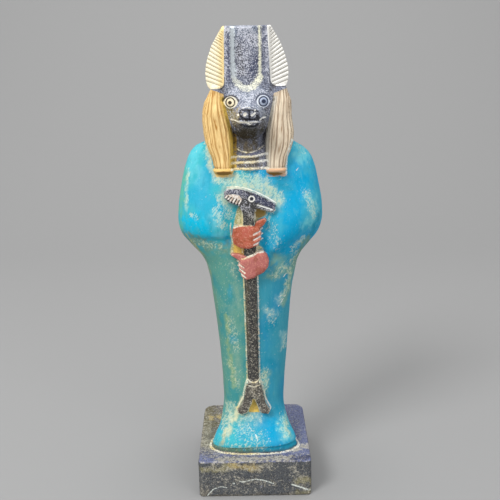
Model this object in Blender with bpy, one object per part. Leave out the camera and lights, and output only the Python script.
"""Painted stone statuette of a jackal-headed Egyptian god, wrapped like a mummy and holding a
was sceptre. The figure and its plinth are carved from one block, so they are one solid.

The figure faces -Y and stands on +Z. The origin is the middle of the plinth's underside.
"""

import math

import bmesh
import bpy
from mathutils import Vector

# Driving sizes in metres
FIGURE_HEIGHT = 0.2745
FIGURE_WIDTH = 0.0936
FIGURE_DEPTH = 0.0500
PLINTH_HEIGHT = 0.0255
PLINTH_FRONT_LEDGE = 0.0098
PLINTH_SIDE_LEDGE = 0.0085
PLINTH_BACK_LEDGE = 0.0210
PLINTH_FRONT_CORNER = 0.0030
PLINTH_BACK_CORNER = 0.0070
PLINTH_EDGE_WEAR = 0.0008
SHAFT_TOP_WIDTH = 0.0080
SHAFT_FOOT_WIDTH = 0.0070
SHAFT_RELIEF = 0.0030
COLLAR_RELIEF = 0.0036
SCEPTRE_RELIEF = 0.0032
HAND_RELIEF = 0.0058
FINGER_GROOVE_WIDTH = 0.0011
FINGER_GROOVE_DEPTH = 0.0012
THUMB_RELIEF = 0.0040
STRAND_DEPTH = 0.0007
NECK_RING_RELIEF = 0.0009
EYE_RELIEF = 0.0008
PUPIL_RELIEF = 0.0015
MOUTH_DEPTH = 0.0009
NOSTRIL_RADIUS = 0.0012
EAR_HOLLOW_DEPTH = 0.0016
EAR_RIB_DEPTH = 0.0008
EAR_RIB_WIDTH = 0.0010
EAR_RIM_WIDTH = 0.0041
RECESS_DEPTH = 0.0046
STROKE_WIDTH = 0.0009
STROKE_DEPTH = 0.0009
EMBED = 0.0030
ROUGHNESS = 0.65

# Counts of what repeats
EAR_RIBS = 15
BACK_STRANDS = 24
LAPPET_STRANDS = 9
NECK_RINGS = 3
SCEPTRE_EAR_CUTS = 6
FINGERS = 4
BODY_SIDES = 40
NECK_SIDES = 14
SHAFT_SIDES = 10
ROUND_SIDES = 14
SMALL_ROUND_SIDES = 8
CORNER_STEPS = 5

# The figure's forms are laid out in shares of its own height, width and depth. One share is a
# millimetre at the sizes above. Heights count from the plinth's top.
HEIGHT_SHARES = 274.5
WIDTH_SHARES = 93.6
DEPTH_SHARES = 50.0
UP = FIGURE_HEIGHT / HEIGHT_SHARES
ACROSS = FIGURE_WIDTH / WIDTH_SHARES
DEEP = FIGURE_DEPTH / DEPTH_SHARES

FOOT_FRONT = 31.0
HEEL = 19.5
FOOT_HALF_WIDTH = 28.6
PLINTH_FRONT = -FOOT_FRONT * DEEP - PLINTH_FRONT_LEDGE
PLINTH_BACK = HEEL * DEEP + PLINTH_BACK_LEDGE
AXIS_Y = -(PLINTH_FRONT + PLINTH_BACK) / 2

# Outline of the wrapped body: (height, measure) stations in shares
BODY_HALF_WIDTH = (
    (-4, 21.5), (28, 20.7), (62, 22.1), (105, 26.4), (122, 28.2), (131, 31.5), (139, 38.0),
    (147, 44.4), (156, 46.8), (166, 46.3), (180, 43.8), (191, 41.0), (198, 37.0), (203, 30.0),
    (207, 21.0),
)
BODY_FRONT = (
    (-4, FOOT_FRONT), (6, FOOT_FRONT), (8.5, 29.6), (13, 25.6), (19, 20.8), (26, 18.2), (40, 17.0),
    (70, 17.8), (100, 20.0), (130, 22.0), (160, 23.0), (178, 22.5), (188, 20.0), (196, 16.5),
    (202, 13.0), (207, 9.0),
)
BODY_BACK = (
    (-4, HEEL), (20, 18.0), (60, 18.5), (95, 21.5), (110, 23.0), (125, 22.0), (150, 23.5),
    (176, 25.0), (190, 24.0), (198, 21.0), (207, 14.0),
)
BODY_SQUARENESS = ((-4, 3.2), (8, 3.2), (20, 2.6), (35, 2.3), (110, 2.3), (150, 2.5), (207, 2.3))
FOOT_FLARE = ((-4, 11.8), (7, 11.4), (13, 7.4), (20, 2.6), (27, 0.0))
FLARE_BEGINS = -0.35
FLARE_FULL = 0.65
BODY_LEVELS = (
    (-3, 8.5, 2.9), (8.5, 30, 3.6), (30, 126, 13.7), (126, 162, 3.0), (162, 194, 5.3),
    (194, 207, 3.25),
)

# Forearms under the cloth: elbow and wrist as (across, height), and the arm's half thickness
FOREARMS = (((-38, 157.0), (-12, 156.0)), ((38, 160.0), (12, 144.0)))
FOREARM_BULGE = 5.2
FOREARM_LOWER_RADIUS = 11.5
FOREARM_UPPER_RADIUS = 27.0
FOREARM_SIDE_FADE = 6
SLEEVE_EDGE = 12.0
SLEEVE_SLOPE = 2.2


def profile(stations, at):
    """Value of a smooth curve through (position, value) stations, without overshoot."""
    if at <= stations[0][0]:
        return stations[0][1]
    if at >= stations[-1][0]:
        return stations[-1][1]
    k = max(i for i, station in enumerate(stations) if station[0] <= at)

    def slope(i):
        return (stations[i + 1][1] - stations[i][1]) / (stations[i + 1][0] - stations[i][0])

    def tangent(i):
        if i == 0 or i == len(stations) - 1:
            return 0.0
        before, after = slope(i - 1), slope(i)
        return 0.0 if before * after <= 0 else 2 * before * after / (before + after)

    span = stations[k + 1][0] - stations[k][0]
    t = (at - stations[k][0]) / span
    start, end = stations[k][1], stations[k + 1][1]
    return (
        start * (1 + 2 * t) * (1 - t) ** 2
        + end * (3 - 2 * t) * t * t
        + tangent(k) * span * t * (1 - t) ** 2
        - tangent(k + 1) * span * t * t * (1 - t)
    )


def smoothstep(low, high, at):
    t = min(1.0, max(0.0, (at - low) / (high - low)))
    return t * t * (3 - 2 * t)


def signed_power(base, exponent):
    return math.copysign(abs(base) ** exponent, base)


def place(x, y, z):
    """A point given in shares, in metres."""
    return Vector((x * ACROSS, y * DEEP + AXIS_Y, PLINTH_HEIGHT + z * UP))


def levels(*spans):
    """Heights from spans of (start, end, about how far apart), with the last end added."""
    heights = []
    for start, end, apart in spans:
        steps = max(1, round((end - start) / apart))
        heights += [start + (end - start) * k / steps for k in range(steps)]
    return heights + [spans[-1][1]]


def mesh_object(name, build, colour):
    """A closed mesh object filled by build(bm), with faces pointing out and soft shading."""
    bm = bmesh.new()
    build(bm)
    bmesh.ops.recalc_face_normals(bm, faces=bm.faces)
    mesh = bpy.data.meshes.new(name)
    bm.to_mesh(mesh)
    bm.free()
    mesh.shade_smooth()
    mesh.set_sharp_from_angle(angle=math.radians(35))
    mesh.materials.append(paint(colour))
    made = bpy.data.objects.new(name, mesh)
    bpy.context.scene.collection.objects.link(made)
    return made


PAINTS = {
    "blue": (0.03, 0.36, 0.52, 1),
    "black": (0.03, 0.035, 0.06, 1),
    "ochre": (0.52, 0.30, 0.10, 1),
    "red": (0.38, 0.07, 0.05, 1),
}


def paint(colour):
    """Painted stone in one of the statuette's colours."""
    name = f"painted_stone_{colour}"
    material = bpy.data.materials.get(name)
    if material is None:
        material = bpy.data.materials.new(name)
        material.use_nodes = True
        shader = material.node_tree.nodes["Principled BSDF"]
        shader.inputs["Base Color"].default_value = PAINTS[colour]
        shader.inputs["Roughness"].default_value = ROUGHNESS
        shader.inputs["Metallic"].default_value = 0.0
    return material


def fill_rings(bm, rings, fan=False):
    """Quads between successive rings of points, closed at both ends, by fans on round sections."""
    loops = [[bm.verts.new(point) for point in ring] for ring in rings]
    for low, high in zip(loops, loops[1:]):
        for k in range(len(low)):
            after = (k + 1) % len(low)
            bm.faces.new((low[k], low[after], high[after], high[k]))
    caps = [bm.faces.new(loops[0][::-1]), bm.faces.new(loops[-1])]
    if fan:
        bmesh.ops.poke(bm, faces=caps)
    else:
        bmesh.ops.triangulate(bm, faces=caps)


def loft(name, rings, colour):
    return mesh_object(name, lambda bm: fill_rings(bm, rings, fan=True), colour)


def forearm_bulge(x, z):
    """How far the cloth stands out over the folded forearms, in shares."""
    if x == 0:
        return 0.0
    (elbow_x, elbow_z), (wrist_x, wrist_z) = FOREARMS[0] if x < 0 else FOREARMS[1]
    along = min(1.0, max(0.0, (x - wrist_x) / (elbow_x - wrist_x)))
    off = z - (wrist_z + (elbow_z - wrist_z) * along)
    if off < 0:
        share = math.sqrt(max(0.0, 1 - (off / FOREARM_LOWER_RADIUS) ** 2))
    else:
        share = 0.5 + 0.5 * math.cos(math.pi * min(1.0, off / FOREARM_UPPER_RADIUS))
    inner = smoothstep(SLEEVE_EDGE, SLEEVE_EDGE + SLEEVE_SLOPE, abs(x))
    reach = max(0.0, 1 - (abs(x) / profile(BODY_HALF_WIDTH, z)) ** FOREARM_SIDE_FADE)
    return FOREARM_BULGE * share * inner * reach


def body_front_y(x, z):
    """Depth of the cloth's front surface at a place in the front view, in shares."""
    square = profile(BODY_SQUARENESS, z)
    inside = max(0.0, 1 - abs(x / profile(BODY_HALF_WIDTH, z)) ** square)
    return -profile(BODY_FRONT, z) * inside ** (1 / square) - forearm_bulge(x, z)


def body_ring(z):
    """The wrapped body's section at a height, in metres, with the foot's flare towards the front."""
    square = profile(BODY_SQUARENESS, z)
    ring = []
    for k in range(BODY_SIDES):
        angle = 2 * math.pi * k / BODY_SIDES
        side, face = math.cos(angle), -math.sin(angle)
        flare = profile(FOOT_FLARE, z) * smoothstep(FLARE_BEGINS, FLARE_FULL, -face)
        x = (profile(BODY_HALF_WIDTH, z) + flare) * signed_power(side, 2 / square)
        if face < 0:
            y = -profile(BODY_FRONT, z) * abs(face) ** (2 / square) - forearm_bulge(x, z)
        else:
            y = profile(BODY_BACK, z) * face ** (2 / square)
        ring.append(place(x, y, z))
    return ring


def body():
    return loft("wrapped_body", [body_ring(z) for z in levels(*BODY_LEVELS)], "blue")


def plinth():
    """Block with small front corners and wide back ones, its edges rubbed off."""
    half = FOOT_HALF_WIDTH * ACROSS + PLINTH_SIDE_LEDGE
    half_depth = (PLINTH_BACK - PLINTH_FRONT) / 2

    def ring(z, inset):
        points = []
        for turn, (sx, sy) in enumerate(((1, 1), (-1, 1), (-1, -1), (1, -1))):
            radius = PLINTH_BACK_CORNER if sy > 0 else PLINTH_FRONT_CORNER
            cx, cy = sx * (half - radius), sy * (half_depth - radius)
            reach = radius - inset
            for k in range(CORNER_STEPS + 1):
                angle = math.pi / 2 * (turn + k / CORNER_STEPS)
                points.append(Vector((cx + reach * math.cos(angle), cy + reach * math.sin(angle), z)))
        return points

    wear = PLINTH_EDGE_WEAR
    rings = [ring(0, wear), ring(wear, 0), ring(PLINTH_HEIGHT - wear, 0), ring(PLINTH_HEIGHT, wear)]
    return loft("plinth", rings, "black")


WIG_HALF_WIDTH = (
    (176, 22.0), (190, 24.5), (203, 27.6), (215, 29.0), (222, 28.8), (231, 26.2), (236, 23.0),
    (240, 15.0),
)
WIG_BACK = (
    (176, 28.0), (190, 28.0), (203, 27.0), (215, 26.5), (226, 24.0), (236, 18.0), (240, 11.0),
)
WIG_FRONT = ((176, 4.0), (195, 6.0), (215, 12.0), (232, 12.0), (240, 8.0))
WIG_SQUARENESS = 2.4
WIG_CUT_BEVEL = 1.2
WIG_CUT_HEIGHT = 0.8
WIG_FRONT_NARROWING = 0.8
WIG_LOW = WIG_HALF_WIDTH[0][0]
WIG_LEVELS = ((WIG_LOW + WIG_CUT_HEIGHT, 204, 9.0), (204, 228, 8.0), (228, 240, 3.0))


def wig_back():
    """The hair over the crown, the sides and the back, cut straight on the shoulder blades."""
    depth = STRAND_DEPTH / ACROSS
    steps = 2 * BACK_STRANDS

    def ring(z, shrink=0.0):
        half, back, front = (profile(t, z) for t in (WIG_HALF_WIDTH, WIG_BACK, WIG_FRONT))
        points = []
        for k in range(steps + 1):
            angle = math.pi * k / steps
            cut = shrink + (depth if k % 2 else 0.0)
            x = (half - cut) * signed_power(math.cos(angle), 2 / WIG_SQUARENESS)
            y = (back - cut) * signed_power(math.sin(angle), 2 / WIG_SQUARENESS)
            points.append(place(x, y, z))
        points += [place(turn * WIG_FRONT_NARROWING * half, -front, z) for turn in (-1, 1)]
        return points

    rings = [ring(WIG_LOW, WIG_CUT_BEVEL)] + [ring(z) for z in levels(*WIG_LEVELS)]
    return loft("wig_back", rings, "ochre")


LAPPET_INNER = (
    (184.5, 10.2), (196, 9.8), (203, 9.8), (212, 10.6), (221, 12.9), (229, 14.6), (238.4, 16.0),
)
LAPPET_OUTER = (
    (184.5, 21.6), (190, 22.2), (196, 23.6), (202, 26.6), (212, 28.4), (221, 28.9), (229, 27.4),
    (238.4, 23.0),
)
LAPPET_FRONT = (
    (184.5, 24.4), (196, 22.6), (205, 21.0), (213, 19.0), (221, 17.6), (229, 15.2), (238.4, 12.0),
)
LAPPET_ROUNDING = 5.6
LAPPET_SQUARENESS = 2.6
LAPPET_BACK = 4.0
LAPPET_END_CHAMFER = 4.4
LAPPET_BAND = 4.6
LAPPET_BAND_SWELL = 0.5
LAPPET_BAND_FROM = 2.8
LAPPET_BAND_EDGE = 0.4
LAPPET_LEVELS = ((LAPPET_INNER[0][0] + LAPPET_BAND, 205, 5.3), (205, 229, 6.0), (229, 238.4, 4.7))


def lappet(side):
    """One of the two bunches of hair in front of the shoulders, with a band at its slanted end."""
    steps = 2 * LAPPET_STRANDS
    low, band = LAPPET_INNER[0][0], LAPPET_LEVELS[0][0]

    def ring(z, swell=0.0, strands=True, chamfer=0.0):
        inner, outer = profile(LAPPET_INNER, z), profile(LAPPET_OUTER, z)
        front = profile(LAPPET_FRONT, z) - chamfer
        middle, half = side * (inner + outer) / 2, (outer - inner) / 2 + swell
        points = []
        for k in range(steps + 1):
            angle = math.pi * k / steps
            cut = STRAND_DEPTH / ACROSS if strands and k % 2 else 0.0
            x = (half - cut) * signed_power(math.cos(angle), 2 / LAPPET_SQUARENESS)
            rise = signed_power(math.sin(angle), 2 / LAPPET_SQUARENESS)
            y = -front + LAPPET_ROUNDING - (LAPPET_ROUNDING + swell - cut) * rise
            points.append(place(middle + x, y, z))
        points += [place(middle - half, LAPPET_BACK, z), place(middle + half, LAPPET_BACK, z)]
        return points

    rings = [
        ring(low, -LAPPET_BAND_SWELL, False, LAPPET_END_CHAMFER),
        ring(low + LAPPET_BAND_FROM, LAPPET_BAND_SWELL, False),
        ring(band - LAPPET_BAND_EDGE, LAPPET_BAND_SWELL, False),
    ]
    rings += [ring(z) for z in levels(*LAPPET_LEVELS)]
    return loft("lappet_left" if side < 0 else "lappet_right", rings, "ochre")


NECK_LOW = 183.0
NECK_HIGH = 210.0
NECK_RINGS_FROM = 188.4
NECK_RINGS_TO = 199.2
NECK_RING_STEP = 1.0
NECK_FRONT = ((183, 18.6), (187, 21.6), (189, 21.8), (194, 19.4), (200, 16.6), (210, 15.4))
NECK_HALF_WIDTH = 12.0
NECK_BACK = 8.0
NECK_SQUARENESS = 2.5
NECK_RING_FORM = ((0.0, 1.0), (0.2, 1.0), (0.35, 0.0), (0.85, 0.0))


def neck():
    """The throat between the lappets, with raised rings."""
    pitch = (NECK_RINGS_TO - NECK_RINGS_FROM) / NECK_RINGS
    stations = [(NECK_LOW, 0.0)]
    for k in range(NECK_RINGS):
        stations += [(NECK_RINGS_FROM + (k + share) * pitch, rise) for share, rise in NECK_RING_FORM]
    stations += [(NECK_RINGS_TO + NECK_RING_STEP, 0.0), (NECK_HIGH, 0.0)]
    rings = []
    for z, rise in stations:
        front = profile(NECK_FRONT, z) + rise * NECK_RING_RELIEF / DEEP
        ring = []
        for step in range(NECK_SIDES):
            angle = 2 * math.pi * step / NECK_SIDES
            face = signed_power(math.sin(angle), 2 / NECK_SQUARENESS)
            ring.append(
                place(NECK_HALF_WIDTH * math.cos(angle), face * (front if face < 0 else NECK_BACK), z)
            )
        rings.append(ring)
    return loft("neck", rings, "black")


# The head is laid out along the snout: (depth in front of the axis, measure) stations
HEAD_HALF_WIDTH = (
    (-6, 13.0), (6, 15.8), (12, 15.8), (14.5, 14.9), (17, 12.2), (19.5, 10.3), (24, 9.0),
    (30, 8.0), (34, 7.5), (36.5, 6.8), (38.2, 5.0), (38.9, 2.6),
)
HEAD_TOP = (
    (-6, 239.0), (10, 239.0), (13, 237.0), (16, 234.6), (20, 231.4), (25, 228.6), (30, 227.0),
    (35, 226.3), (37, 225.2), (38.9, 221.4),
)
HEAD_BOTTOM = (
    (-6, 204.0), (10, 203.5), (14, 205.0), (20, 209.6), (25, 212.0), (30, 213.6), (35, 214.4),
    (37, 215.2), (38.9, 217.8),
)
HEAD_MIDDLE = (
    (-6, 229.0), (6, 229.0), (12, 227.0), (16, 224.0), (20, 221.4), (25, 219.3), (30, 218.5),
    (38.9, 218.6),
)
HEAD_DEPTHS = ((-6, 10, 8.0), (10, 26, 2.7), (26, 37.4, 2.85), (37.4, 38.4, 1.0), (38.4, 38.9, 0.5))
HEAD_SQUARENESS = 2.3
JAW_NARROWING = ((-6, 0.75), (12, 0.78), (20, 0.88), (38.9, 0.9))
MOUTH_REACH = ((19, 0.0), (22, 1.0))
MOUTH_NARROWEST = 0.4
# Where the head's outline has its corners, in shares of a half turn
HALF_TURN_SHARES = (0, 0.033, 0.11, 0.2, 0.295, 0.395, 0.5, 0.605, 0.705, 0.8, 0.89, 0.967)


def head_section(depth, angle):
    """Across and height, in shares, of the head's section at a depth, at an angle."""
    side, rise = math.cos(angle), math.sin(angle)
    half, middle = profile(HEAD_HALF_WIDTH, depth), profile(HEAD_MIDDLE, depth)
    exponent = 2 / HEAD_SQUARENESS
    if rise >= -1e-9:
        reach = profile(HEAD_TOP, depth) - middle
    else:
        reach = middle - profile(HEAD_BOTTOM, depth)
        half *= profile(JAW_NARROWING, depth) + (1 - profile(JAW_NARROWING, depth)) * (1 + rise)
    return half * signed_power(side, exponent), middle + reach * signed_power(rise, exponent)


def head_ring(depth):
    ring = []
    for half_turns in (0, 1):
        for share in HALF_TURN_SHARES:
            x, z = head_section(depth, math.pi * (half_turns + share))
            if share == 0:
                groove = MOUTH_DEPTH / ACROSS * profile(MOUTH_REACH, depth)
                x -= math.copysign(min(groove, abs(x) * MOUTH_NARROWEST), x)
            ring.append(place(x, -depth, z))
    return ring


def head():
    return loft("head", [head_ring(depth) for depth in levels(*HEAD_DEPTHS)], "black")


def head_front_y(x, z):
    """Depth of the head's surface seen from the front at a place, in shares."""
    near, far = HEAD_TOP[-1][0], 0.0
    for _ in range(24):
        depth = (near + far) / 2
        middle = profile(HEAD_MIDDLE, depth)
        limit = profile(HEAD_TOP, depth) if z >= middle else profile(HEAD_BOTTOM, depth)
        rise = abs(z - middle) / max(1e-6, abs(limit - middle))
        across = abs(x) / profile(HEAD_HALF_WIDTH, depth)
        if rise ** HEAD_SQUARENESS + across ** HEAD_SQUARENESS <= 1:
            far = depth
        else:
            near = depth
    return -(near + far) / 2


# Outlines in the front view: (across, height) in shares
SCEPTRE_HEAD = (
    (-16.1, 172.3), (-16.2, 175.9), (-14.4, 177.7), (-8.0, 177.9), (-3.8, 177.0), (2.7, 174.9),
    (9.1, 171.7), (15.4, 167.7), (15.1, 164.2), (13.3, 162.6), (9.0, 163.8), (3.4, 165.4),
    (2.2, 162.5), (1.8, 149.5), (-4.8, 149.5), (-4.8, 162.4), (-6.9, 167.0), (-13.3, 169.6),
)
SCEPTRE_MOUTH = ((4.6, 167.2), (13.3, 164.3))
SCEPTRE_EYE = (0.7, 171.4)
SCEPTRE_EYE_RADIUS = 1.9
SCEPTRE_EAR_FROM = (-14.0, 174.4)
SCEPTRE_EAR_TO = (-6.6, 171.0)
SCEPTRE_EAR_CUT = (2.0, 3.6)
SCEPTRE_FOOT = (
    (-4.4, 46.0), (-6.0, 39.5), (-6.7, 34.3), (-9.3, 29.2), (-11.2, 25.6), (-9.4, 23.9),
    (-5.2, 24.3), (-2.8, 29.0), (0.2, 36.0), (2.9, 29.4), (4.8, 24.6), (9.6, 23.9), (10.9, 26.2),
    (7.6, 33.0), (6.5, 39.5), (4.6, 46.0),
)
SCEPTRE_COLLAR = ((-4.5, 44.2), (-4.5, 46.8), (4.7, 46.8), (4.7, 44.2))
UPPER_HAND = (
    (-10.9, 153.6), (-6.0, 154.9), (0.3, 154.7), (5.0, 153.4), (6.4, 150.5), (6.2, 145.4),
    (4.4, 142.0), (-1.5, 139.6), (-6.5, 140.2), (-10.8, 142.6), (-11.9, 148.0),
)
UPPER_THUMB = ((0.6, 152.2), (3.4, 156.8), (8.5, 158.9), (9.9, 157.4), (8.2, 154.8), (5.0, 151.8))
LOWER_HAND = (
    (-6.2, 132.6), (0.6, 134.9), (3.6, 137.2), (7.4, 137.8), (9.8, 135.6), (11.1, 131.5),
    (10.4, 127.5), (7.6, 123.9), (4.0, 122.2), (1.2, 120.2), (-3.3, 119.2), (-6.0, 121.0),
    (-7.8, 125.0), (-8.3, 129.6),
)
LOWER_THUMB = (
    (-12.9, 135.2), (-11.8, 136.4), (-7.3, 135.9), (-2.6, 134.2), (-3.6, 130.6), (-7.6, 131.6),
)
HAND_ROUNDING = 2.0
THUMB_ROUNDING = 0.7
SCEPTRE_ROUNDING = 0.6
EYE_ROUNDING = 0.4
# The groove below each hand's first finger, from the palm outward, and the step to the next one
UPPER_FINGER_GROOVE = (((1.6, 148.9), (6.6, 151.6)), (0.05, -3.3))
LOWER_FINGER_GROOVE = (((-4.6, 127.4), (-8.6, 130.6)), (0.5, -3.2))
# How far a groove's cutter stands out of the surface that it is let into
GROOVE_CLEAR = 0.45


def outward_corners(outline):
    """Each outline point with its corner direction, outward and long enough to offset edges by 1."""
    count = len(outline)
    area = sum(
        outline[k][0] * outline[(k + 1) % count][1] - outline[(k + 1) % count][0] * outline[k][1]
        for k in range(count)
    )
    turn = 1 if area > 0 else -1
    corners = []
    for k in range(count):
        before = (Vector(outline[k]) - Vector(outline[k - 1])).normalized()
        after = (Vector(outline[(k + 1) % count]) - Vector(outline[k])).normalized()
        normal = Vector((before.y + after.y, -before.x - after.x)) * turn
        normal.normalize()
        spread = max(0.55, normal.dot(Vector((before.y, -before.x)) * turn))
        corners.append((Vector(outline[k]), normal / spread))
    return corners


def facing_plane(surface, outline):
    """The flat plane that lies on a curved surface over an outline, as a function of (x, z)."""
    xs, zs = [p[0] for p in outline], [p[1] for p in outline]
    x, z = (min(xs) + max(xs)) / 2, (min(zs) + max(zs)) / 2
    dx, dz = (max(xs) - min(xs)) / 2, (max(zs) - min(zs)) / 2
    across = (surface(x + dx, z) - surface(x - dx, z)) / (2 * dx)
    upward = (surface(x, z + dz) - surface(x, z - dz)) / (2 * dz)
    corners = ((x, z), (x - dx, z), (x + dx, z), (x, z - dz), (x, z + dz))
    front = min(surface(px, pz) - across * (px - x) - upward * (pz - z) for px, pz in corners)
    return lambda at_x, at_z: front + across * (at_x - x) + upward * (at_z - z)


# How a pad's rim is rounded: (inset, drop) from the edge of its flat top, in shares of the rounding
PAD_RIM = ((0.0, 0.75), (0.3, 0.25), (1.0, 0.0))


def pad(name, outline, surface, relief, rounding, colour):
    """A flat form raised over a surface, with its outline in the front view and a rounded rim."""
    corners = outward_corners(outline)
    plane = facing_plane(surface, outline)
    height = relief / DEEP
    steps = [(0.0, -EMBED / DEEP)]
    steps += [(inset * rounding, height - drop * rounding) for inset, drop in PAD_RIM]
    rings = []
    for inset, rise in steps:
        ring = []
        for point, normal in corners:
            x, z = point - normal * inset
            ring.append(place(x, plane(x, z) - rise, z))
        rings.append(ring)
    return mesh_object(name, lambda bm: fill_rings(bm, rings), colour)


def add_groove(bm, start, end, width, depth, surface, side=1, shift=0.0):
    """A V-shaped cutter along a line in the front view, let into a surface."""
    along = Vector(end) - Vector(start)
    across = Vector((-along.y, along.x)).normalized() * width / ACROSS / 2
    floor = depth / DEEP
    spread = (floor + GROOVE_CLEAR) / floor
    rings = []
    for x, z in (start, end):
        y = surface(x, z)
        corners = ((0, y + floor), (spread, y - GROOVE_CLEAR), (-spread, y - GROOVE_CLEAR))
        rings.append([
            place(shift + side * (x + across.x * m), level, z + across.y * m) for m, level in corners
        ])
    fill_rings(bm, rings)


def round_outline(centre, radius_x, radius_z, count):
    turns = [2 * math.pi * k / count for k in range(count)]
    return [(centre[0] + radius_x * math.cos(t), centre[1] + radius_z * math.sin(t)) for t in turns]


SHAFT_LEAN = ((24, 0.2), (100, -0.4), (150, -1.2), (170, -1.7))
SHAFT_FROM = 40.0
SHAFT_TO = 147.0
SHAFT_LENGTHS = 9
SHAFT_FLAT_SIDES = 0.8
SHAFT_FLAT_FRONT = 0.7


def shaft():
    """The sceptre's staff: a half-round bar lying on the cloth."""
    rings = []
    for z in levels((SHAFT_FROM, SHAFT_TO, SHAFT_LENGTHS)):
        share = (z - SHAFT_FROM) / (SHAFT_TO - SHAFT_FROM)
        half = (SHAFT_FOOT_WIDTH + (SHAFT_TOP_WIDTH - SHAFT_FOOT_WIDTH) * share) / ACROSS / 2
        middle = profile(SHAFT_LEAN, z)
        base = body_front_y(middle, z)
        ring = []
        for k in range(SHAFT_SIDES):
            angle = 2 * math.pi * (k + 0.5) / SHAFT_SIDES
            x = middle + half * signed_power(math.cos(angle), SHAFT_FLAT_SIDES)
            face = math.sin(angle)
            reach = SHAFT_RELIEF / DEEP if face < 0 else EMBED / DEEP
            ring.append(place(x, base + signed_power(face, SHAFT_FLAT_FRONT) * reach, z))
        rings.append(ring)
    return loft("sceptre_shaft", rings, "black")


def hand(name, outline, thumb):
    return [
        pad(f"{name}_hand", outline, body_front_y, HAND_RELIEF, HAND_ROUNDING, "red"),
        pad(f"{name}_thumb", thumb, body_front_y, THUMB_RELIEF, THUMB_ROUNDING, "red"),
    ]


def finger_cuts(name, outline, grooves):
    """The grooves between a hand's fingers."""
    plane = facing_plane(body_front_y, outline)
    (start, end), step = grooves

    def build(bm):
        for k in range(FINGERS - 1):
            points = [(x + step[0] * k, z + step[1] * k) for x, z in (start, end)]
            add_groove(
                bm, *points, FINGER_GROOVE_WIDTH, FINGER_GROOVE_DEPTH,
                lambda x, z: plane(x, z) - HAND_RELIEF / DEEP,
            )

    return mesh_object(f"{name}_finger_cuts", build, "red")


def sceptre():
    eye = round_outline(SCEPTRE_EYE, SCEPTRE_EYE_RADIUS, SCEPTRE_EYE_RADIUS, SMALL_ROUND_SIDES)
    return [
        shaft(),
        pad("sceptre_head", SCEPTRE_HEAD, body_front_y, SCEPTRE_RELIEF, SCEPTRE_ROUNDING, "black"),
        pad("sceptre_foot", SCEPTRE_FOOT, body_front_y, SCEPTRE_RELIEF, SCEPTRE_ROUNDING, "black"),
        pad("sceptre_collar", SCEPTRE_COLLAR, body_front_y, COLLAR_RELIEF, SCEPTRE_ROUNDING, "black"),
        pad("sceptre_eye", eye, body_front_y, SCEPTRE_RELIEF + EYE_RELIEF, EYE_ROUNDING, "black"),
    ]


def sceptre_cuts():
    """Grooves in the sceptre's animal head: its mouth and the strokes inside its ear."""
    plane = facing_plane(body_front_y, SCEPTRE_HEAD)
    strokes = [SCEPTRE_MOUTH]
    for k in range(SCEPTRE_EAR_CUTS):
        share = k / max(1, SCEPTRE_EAR_CUTS - 1)
        x = SCEPTRE_EAR_FROM[0] + (SCEPTRE_EAR_TO[0] - SCEPTRE_EAR_FROM[0]) * share
        z = SCEPTRE_EAR_FROM[1] + (SCEPTRE_EAR_TO[1] - SCEPTRE_EAR_FROM[1]) * share
        strokes.append(((x, z), (x - SCEPTRE_EAR_CUT[0], z - SCEPTRE_EAR_CUT[1])))

    def build(bm):
        for start, end in strokes:
            add_groove(
                bm, start, end, STROKE_WIDTH, STROKE_DEPTH,
                lambda x, z: plane(x, z) - SCEPTRE_RELIEF / DEEP,
            )

    return mesh_object("sceptre_cuts", build, "black")


EYE_CENTRES = ((-10.8, 228.0), (9.8, 228.3))
EYE_HALF_SIZE = (4.1, 3.5)
PUPIL_RADIUS = 1.5
NOSE_CENTRE = (0.0, 36.2, 223.2)
NOSE_HALF_SIZE = (7.2, 3.9, 4.1)
NOSTRIL_CENTRES = ((-2.7, 40.0, 222.4), (2.7, 40.0, 222.4))


def ball(name, centre, half_size, colour, sides):
    """A ball of half sizes in shares round a (across, forward, height) place."""

    def build(bm):
        made = bmesh.ops.create_uvsphere(bm, u_segments=sides, v_segments=sides - 2, radius=1.0)
        for vert in made["verts"]:
            x, y, z = (c * h for c, h in zip(vert.co, half_size))
            vert.co = place(centre[0] + x, -centre[1] + y, centre[2] + z)

    return mesh_object(name, build, colour)


def face():
    made = []
    for k, centre in enumerate(EYE_CENTRES):
        rim = round_outline(centre, *EYE_HALF_SIZE, ROUND_SIDES)
        pupil = round_outline(centre, PUPIL_RADIUS, PUPIL_RADIUS, SMALL_ROUND_SIDES)
        made.append(pad(f"eye_rim_{k}", rim, head_front_y, EYE_RELIEF, EYE_ROUNDING, "black"))
        made.append(pad(f"pupil_{k}", pupil, head_front_y, PUPIL_RELIEF, EYE_ROUNDING, "black"))
    made.append(ball("nose", NOSE_CENTRE, NOSE_HALF_SIZE, "black", ROUND_SIDES))
    return made


def nostril_cuts():
    size = (NOSTRIL_RADIUS / ACROSS, NOSTRIL_RADIUS / DEEP, NOSTRIL_RADIUS / UP)
    return [
        ball(f"nostril_cut_{k}", centre, size, "black", SMALL_ROUND_SIDES)
        for k, centre in enumerate(NOSTRIL_CENTRES)
    ]


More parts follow.
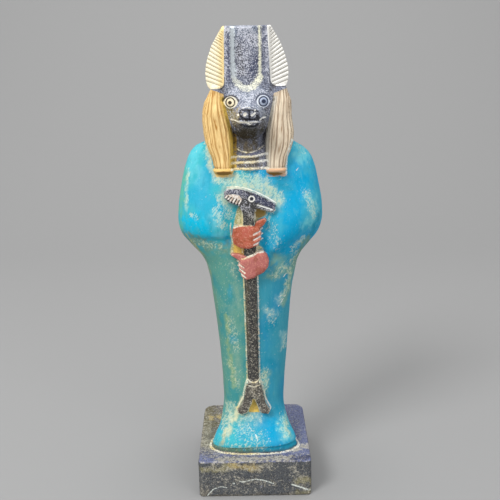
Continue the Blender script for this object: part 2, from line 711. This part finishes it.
# Both ears and the stone left between them, over the crown of the head
EAR_TOP = HEIGHT_SHARES
EAR_OUTER = (
    (227.6, 14.6), (232, 17.2), (235, 21.6), (238, 24.2), (241, 25.4), (245, 25.8), (250, 25.4),
    (256, 23.9), (262, 21.7), (268, 18.8), (EAR_TOP, 14.9),
)
EAR_FRONT = ((227.6, 12.6), (238, 11.6), (250, 10.6), (EAR_TOP, 9.4))
EAR_SIDE = ((227.6, 7.0), (238, 5.5), (262, 4.4), (EAR_TOP, 6.6))
EAR_BACK = ((227.6, 13.0), (240, 10.5), (EAR_TOP, 7.0))
EAR_BACK_FORM = ((0.45, 1.0), (0.82, 0.75), (1.0, 0.0))
EAR_RIM_INNER = 9.7
EAR_LOBE_LOW = 235.2
EAR_LEVELS = (227.6, 232, 235, 236.2, 238.5, 241.5, 245.5, 250, 256, 262, 268, EAR_TOP)
EAR_LEAST_WIDTH = 1.2
EAR_STEM_DROP = 2.0
RIB_LEAN_LOW = 0.35
RIB_LEAN_TOP = 0.95
RIB_LOW_MARGIN = 3.0
RIB_TOP_MARGIN = 4.0
RIB_WIDEST_SHARE = 0.43
RIB_INNER_STRIP = 1.6
RIB_STRIP_NARROWING = 0.6
RIB_OUTER_STRIP = 0.5
RIB_LEAST_LENGTH = 0.8
RIB_LENGTH_STEP = 0.2
EAR_RIM_OUTER = EAR_RIM_INNER + EAR_RIM_WIDTH / ACROSS
EAR_STEP = 0.7
EAR_SHIFT = -0.8


def ear_front_y(x, z):
    """Depth of the hollow's floor on the front of an ear, in shares."""
    edge = max(EAR_RIM_OUTER + EAR_LEAST_WIDTH, profile(EAR_OUTER, z))
    share = min(1.0, max(0.0, (abs(x) - EAR_RIM_OUTER) / (edge - EAR_RIM_OUTER)))
    drop = 0.0 if z > EAR_LOBE_LOW else EAR_STEM_DROP
    inner = profile(EAR_FRONT, z) - EAR_HOLLOW_DEPTH / DEEP - drop
    outer = profile(EAR_SIDE, z) - drop
    return -(inner + (outer - inner) * share)


def ears():
    """A block over the crown: two upright bars with a hollowed ear outside each of them."""
    rings = []
    for z in EAR_LEVELS:
        edge = max(EAR_RIM_OUTER + EAR_LEAST_WIDTH, profile(EAR_OUTER, z))
        bar, hollow = -profile(EAR_FRONT, z), EAR_RIM_OUTER + EAR_STEP
        half = [(edge * across, profile(EAR_BACK, z) * deep) for across, deep in EAR_BACK_FORM]
        half += [
            (edge, ear_front_y(edge, z)), (hollow, ear_front_y(hollow, z)),
            (EAR_RIM_OUTER, bar), (EAR_RIM_INNER, bar),
        ]
        mirrored = [(-x, y) for x, y in reversed(half)]
        rings.append([place(x + EAR_SHIFT, y, z) for x, y in half + mirrored])
    return loft("ears", rings, "black")


def rib_cuts(side):
    """Slanting V grooves on one ear, from the plain strip at its bar to its outer edge."""
    first, last = EAR_LOBE_LOW + RIB_LOW_MARGIN, EAR_TOP - RIB_TOP_MARGIN
    pitch = (last - first) / max(1, EAR_RIBS - 1)
    width = min(EAR_RIB_WIDTH, RIB_WIDEST_SHARE * pitch * UP)

    def build(bm):
        for k in range(EAR_RIBS):
            low, share = first + pitch * k, k / max(1, EAR_RIBS - 1)
            lean = RIB_LEAN_LOW + (RIB_LEAN_TOP - RIB_LEAN_LOW) * share
            inner = EAR_RIM_OUTER + RIB_INNER_STRIP * (1 - share * RIB_STRIP_NARROWING)
            outer = inner + RIB_LEAST_LENGTH
            while profile(EAR_OUTER, low + lean * (outer - inner)) > outer + RIB_OUTER_STRIP:
                outer += RIB_LENGTH_STEP
            end = (outer, low + lean * (outer - inner))
            add_groove(bm, (inner, low), end, width, EAR_RIB_DEPTH, ear_front_y, side, EAR_SHIFT)

    return mesh_object(f"rib_cuts_{'left' if side < 0 else 'right'}", build, "ochre")


RECESS_HALF_WIDTH = 9.9
RECESS_FLOOR_HALF_WIDTH = 8.0
RECESS_LOW = 234.6
RECESS_FLOOR_LOW = 238.4
RECESS_BEND = 12.0
RECESS_CLEAR = 3.0
RECESS_STEPS = 8


def recess_cut():
    """The trough between the ears: open at the top, rounded at its lower end, sides sloping."""
    depth = RECESS_DEPTH / DEEP
    slope = (RECESS_HALF_WIDTH - RECESS_FLOOR_HALF_WIDTH) / depth
    drop = (RECESS_FLOOR_LOW - RECESS_LOW) / depth

    def ring(inset):
        half, low = RECESS_HALF_WIDTH - slope * inset, RECESS_LOW + drop * inset
        points = [(half, EAR_TOP + RECESS_CLEAR)]
        for k in range(RECESS_STEPS + 1):
            angle = -math.pi * k / RECESS_STEPS
            points.append((half * math.cos(angle), low + RECESS_BEND * (1 + math.sin(angle))))
        points.append((-half, EAR_TOP + RECESS_CLEAR))
        return [place(x + EAR_SHIFT, inset - profile(EAR_FRONT, z), z) for x, z in points]

    return loft("recess_cut", [ring(depth), ring(-RECESS_CLEAR)], "black")


def combine(host, operation, items):
    """Joins or cuts the host with each construction piece, which is then hidden from renders."""
    for item in items:
        item.hide_render = True
        item.display_type = "WIRE"
        modifier = host.modifiers.new(item.name, "BOOLEAN")
        modifier.operation = operation
        modifier.object = item
        modifier.solver = "EXACT"


def statue():
    host = plinth()
    host.name = "egyptian_god_statue"
    forms = [body(), wig_back(), ears(), lappet(-1), lappet(1), head(), neck()]
    forms += face() + sceptre()
    forms += hand("upper", UPPER_HAND, UPPER_THUMB) + hand("lower", LOWER_HAND, LOWER_THUMB)
    cuts = [
        recess_cut(), rib_cuts(-1), rib_cuts(1), sceptre_cuts(),
        finger_cuts("upper", UPPER_HAND, UPPER_FINGER_GROOVE),
        finger_cuts("lower", LOWER_HAND, LOWER_FINGER_GROOVE),
    ]
    cuts += nostril_cuts()
    combine(host, "UNION", forms)
    combine(host, "DIFFERENCE", cuts)
    return host


def clear_scene():
    for item in list(bpy.data.objects):
        bpy.data.objects.remove(item, do_unlink=True)


clear_scene()
statue()
